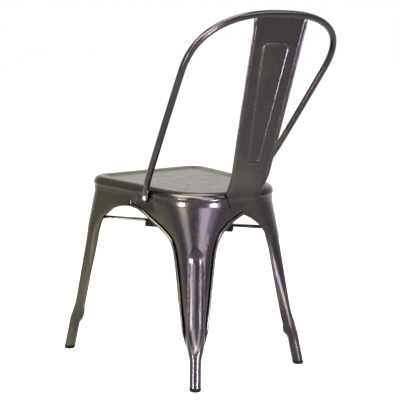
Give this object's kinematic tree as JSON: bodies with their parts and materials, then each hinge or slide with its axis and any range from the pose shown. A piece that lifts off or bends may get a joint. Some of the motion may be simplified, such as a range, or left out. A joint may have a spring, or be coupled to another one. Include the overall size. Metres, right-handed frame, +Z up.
{
  "type": "stacking chair",
  "caption": "Stackable cafe side chair in pressed sheet steel with hollow fluted legs, arched rails, a bent tube back hoop and one central embossed splat.",
  "frame": {"origin": "on the floor, below the middle of the chair's overall length and width", "axes": "+Z up, the chair faces -Y, its own left side is +X"},
  "size_m": [0.4522, 0.5566, 0.8498],
  "materials": {
    "lacquered_steel": "bare dark steel under clear lacquer, satin gloss",
    "cap_rubber": "matte moulded rubber",
    "bumper_rubber": "matte moulded rubber",
    "bright_steel": "plain zinc-bright steel"
  },
  "bodies": {
    "root": {"seat_pan": "lacquered_steel", "leg_front_left": "lacquered_steel", "leg_front_right": "lacquered_steel", "leg_rear_left": "lacquered_steel", "leg_rear_right": "lacquered_steel", "back_hoop": "lacquered_steel", "back_splat": "lacquered_steel", "brace_bar_upper": "lacquered_steel", "brace_bar_lower": "lacquered_steel", "brace_rivet": "lacquered_steel", "foot_cap_front_left": "cap_rubber", "foot_cap_front_right": "cap_rubber", "foot_cap_rear_left": "cap_rubber", "foot_cap_rear_right": "cap_rubber", "bumper_front_left": "bumper_rubber", "bumper_front_right": "bumper_rubber", "bumper_rear_left": "bumper_rubber", "bumper_rear_right": "bumper_rubber", "hoop_bolts": "bright_steel", "hoop_washers": "bright_steel", "hoop_nuts": "bright_steel"}
  },
  "joints": []
}
